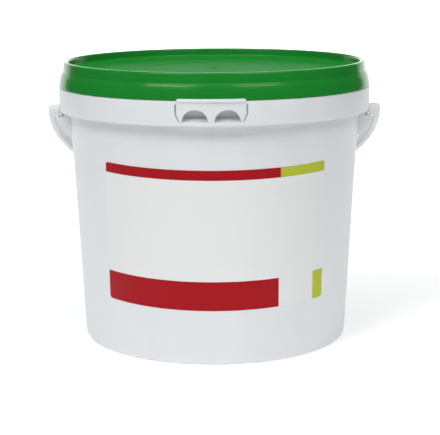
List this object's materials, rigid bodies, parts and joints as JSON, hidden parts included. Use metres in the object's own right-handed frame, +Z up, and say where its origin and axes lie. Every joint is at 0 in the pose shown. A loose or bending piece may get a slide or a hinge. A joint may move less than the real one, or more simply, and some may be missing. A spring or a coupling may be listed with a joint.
{
  "type": "lidded plastic pail",
  "caption": "Round tapered plastic pail with a press-on lid, a swinging bail handle, a tear-off tamper tab in its skirt band and plain labels on its front.",
  "frame": {"origin": "on the surface the pail stands on, under the pail's axis", "axes": "+Z up along the pail's axis, front with label and tamper tab toward -Y, +X along the handle's pivot axis to the viewer's right"},
  "size_m": [0.2432, 0.2274, 0.2026],
  "materials": {
    "pail_plastic": "white moulded polypropylene, soft sheen",
    "lid_plastic": "green moulded polypropylene, semi-gloss",
    "bail_plastic": "white moulded polypropylene, soft sheen",
    "label_paper": "coated paper label with flat red and lime stripes",
    "sticker_paper": "bare white coated paper sticker"
  },
  "bodies": {
    "pail": {"pail_body": "pail_plastic", "skirt_band": "pail_plastic", "lid": "lid_plastic", "label": "label_paper", "content_sticker": "sticker_paper"},
    "bail": {"bail_handle": "bail_plastic"}
  },
  "joints": [
    {"name": "bail_swing", "type": "hinge", "parent": "pail", "child": "bail", "pos_m": [0, 0, 0.166], "axis": [1, 0, 0], "range_deg": [0, 247]}
  ]
}
